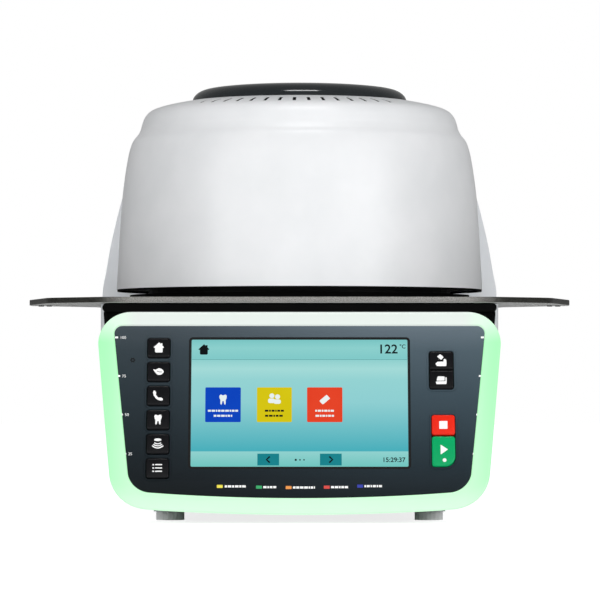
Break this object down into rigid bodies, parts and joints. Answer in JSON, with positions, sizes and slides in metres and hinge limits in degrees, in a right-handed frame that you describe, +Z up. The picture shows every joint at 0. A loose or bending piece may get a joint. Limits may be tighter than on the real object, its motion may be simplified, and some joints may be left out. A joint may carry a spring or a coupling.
{
  "type": "dental lab furnace",
  "caption": "Table-top dental furnace with a round tilting firing head, winged cooling tray and a slanted touch-screen panel in a green light ring.",
  "frame": {"origin": "middle of the footprint, on the table, at the bottom centre of the bounding box", "axes": "+X to the right seen from the operator, +Y away from the operator, +Z up"},
  "size_m": [0.43, 0.43, 0.344],
  "materials": {
    "light_grey_housing": "satin light grey moulding",
    "dark_cap": "glossy anthracite moulding",
    "zinc_plated_steel": "dull zinc plating",
    "pale_rubber": "matt light grey rubber",
    "silicone_seal": "matt black silicone",
    "tray_metal": "speckled dark anodised metal",
    "black_coated_plate": "black heat-proof coating",
    "ceramic_fibre": "white pressed ceramic fibre",
    "silicon_carbide": "dull dark ceramic",
    "quartz": "clear fused quartz",
    "heating_wire": "oxidised resistance wire",
    "steel": "ground steel",
    "aluminium_case": "brushed aluminium",
    "light_guide": "white diffuser lit green",
    "slate_fascia": "satin slate front",
    "display_glass": "lit colour display under glass",
    "circuit_board": "green solder mask",
    "black_plastic": "satin black moulding",
    "black_key": "satin black key",
    "red_key": "red key",
    "green_key": "green key"
  },
  "bodies": {
    "base": {"base_housing": "light_grey_housing", "bottom_plate": "zinc_plated_steel", "foot_front_left": "pale_rubber", "foot_front_right": "pale_rubber", "foot_rear_left": "pale_rubber", "foot_rear_right": "pale_rubber", "cooling_tray": "tray_metal", "tray_seal_plate": "black_coated_plate", "head_seal": "silicone_seal", "firing_base": "ceramic_fibre", "firing_plate": "silicon_carbide", "light_ring": "light_guide", "operating_panel": "slate_fascia", "display_screen": "display_glass", "control_board": "circuit_board", "panel_casing": "black_plastic", "rear_column": "light_grey_housing", "hinge_bracket_left": "zinc_plated_steel", "hinge_bracket_right": "zinc_plated_steel", "gear_motor": "aluminium_case", "rear_panel": "zinc_plated_steel", "mains_inlet": "black_plastic", "pump_socket": "black_plastic", "network_port": "steel", "usb_port": "steel", "switch_frame": "black_plastic", "fuse_holder": "black_plastic", "vacuum_fitting": "steel", "fan_frame": "black_plastic", "power_supply": "aluminium_case"},
    "head": {"head_housing": "light_grey_housing", "head_cap": "dark_cap", "head_base_plate": "black_coated_plate", "quartz_muffle": "quartz", "insulation_ring": "ceramic_fibre", "insulation_lid": "ceramic_fibre", "insulation_can": "zinc_plated_steel", "thermocouple": "steel", "heating_coil": "heating_wire", "head_carrier": "steel", "gear_quadrant": "steel"},
    "pinion": {"motor_pinion": "steel"},
    "fan": {"fan_rotor": "black_plastic"},
    "rocker": {"power_switch": "red_key"},
    "key_home_body": {"key_home": "black_key"},
    "key_program_body": {"key_program": "black_key"},
    "key_phone_body": {"key_phone": "black_key"},
    "key_tooth_body": {"key_tooth": "black_key"},
    "key_pulse_body": {"key_pulse": "black_key"},
    "key_setup_body": {"key_setup": "black_key"},
    "key_open_head_body": {"key_open_head": "black_key"},
    "key_close_head_body": {"key_close_head": "black_key"},
    "key_stop_body": {"key_stop": "red_key"},
    "key_start_body": {"key_start": "green_key"}
  },
  "joints": [
    {"name": "head_tilt", "type": "hinge", "parent": "base", "child": "head", "pos_m": [0, 0.137, 0.276], "axis": [-1, 0, 0], "range_deg": [0, 48]},
    {"name": "pinion_turn", "type": "hinge", "parent": "base", "child": "pinion", "pos_m": [0.072, 0.165, 0.2275], "axis": [-1, 0, 0], "range_deg": [-180, 0]},
    {"name": "fan_spin", "type": "hinge", "parent": "base", "child": "fan", "pos_m": [-0.06205, 0.2, 0.08392], "axis": [0, 1, 0], "continuous": true},
    {"name": "power_rocker", "type": "hinge", "parent": "base", "child": "rocker", "pos_m": [0.06799, 0.208, 0.07803], "axis": [1, 0, 0], "range_deg": [0, 20]},
    {"name": "key_home_press", "type": "slide", "parent": "base", "child": "key_home_body", "axis": [0, 0.9511, -0.309], "range_m": [0, 0.0008], "stiffness_N_per_m": 1500},
    {"name": "key_program_press", "type": "slide", "parent": "base", "child": "key_program_body", "axis": [0, 0.9511, -0.309], "range_m": [0, 0.0008], "stiffness_N_per_m": 1500},
    {"name": "key_phone_press", "type": "slide", "parent": "base", "child": "key_phone_body", "axis": [0, 0.9511, -0.309], "range_m": [0, 0.0008], "stiffness_N_per_m": 1500},
    {"name": "key_tooth_press", "type": "slide", "parent": "base", "child": "key_tooth_body", "axis": [0, 0.9511, -0.309], "range_m": [0, 0.0008], "stiffness_N_per_m": 1500},
    {"name": "key_pulse_press", "type": "slide", "parent": "base", "child": "key_pulse_body", "axis": [0, 0.9511, -0.309], "range_m": [0, 0.0008], "stiffness_N_per_m": 1500},
    {"name": "key_setup_press", "type": "slide", "parent": "base", "child": "key_setup_body", "axis": [0, 0.9511, -0.309], "range_m": [0, 0.0008], "stiffness_N_per_m": 1500},
    {"name": "key_open_head_press", "type": "slide", "parent": "base", "child": "key_open_head_body", "axis": [0, 0.9511, -0.309], "range_m": [0, 0.0008], "stiffness_N_per_m": 1500},
    {"name": "key_close_head_press", "type": "slide", "parent": "base", "child": "key_close_head_body", "axis": [0, 0.9511, -0.309], "range_m": [0, 0.0008], "stiffness_N_per_m": 1500},
    {"name": "key_stop_press", "type": "slide", "parent": "base", "child": "key_stop_body", "axis": [0, 0.9511, -0.309], "range_m": [0, 0.0008], "stiffness_N_per_m": 1500},
    {"name": "key_start_press", "type": "slide", "parent": "base", "child": "key_start_body", "axis": [0, 0.9511, -0.309], "range_m": [0, 0.0008], "stiffness_N_per_m": 1500}
  ],
  "couplings": [
    {"joint": "pinion_turn", "follows": "head_tilt", "ratio": -3.6667}
  ]
}
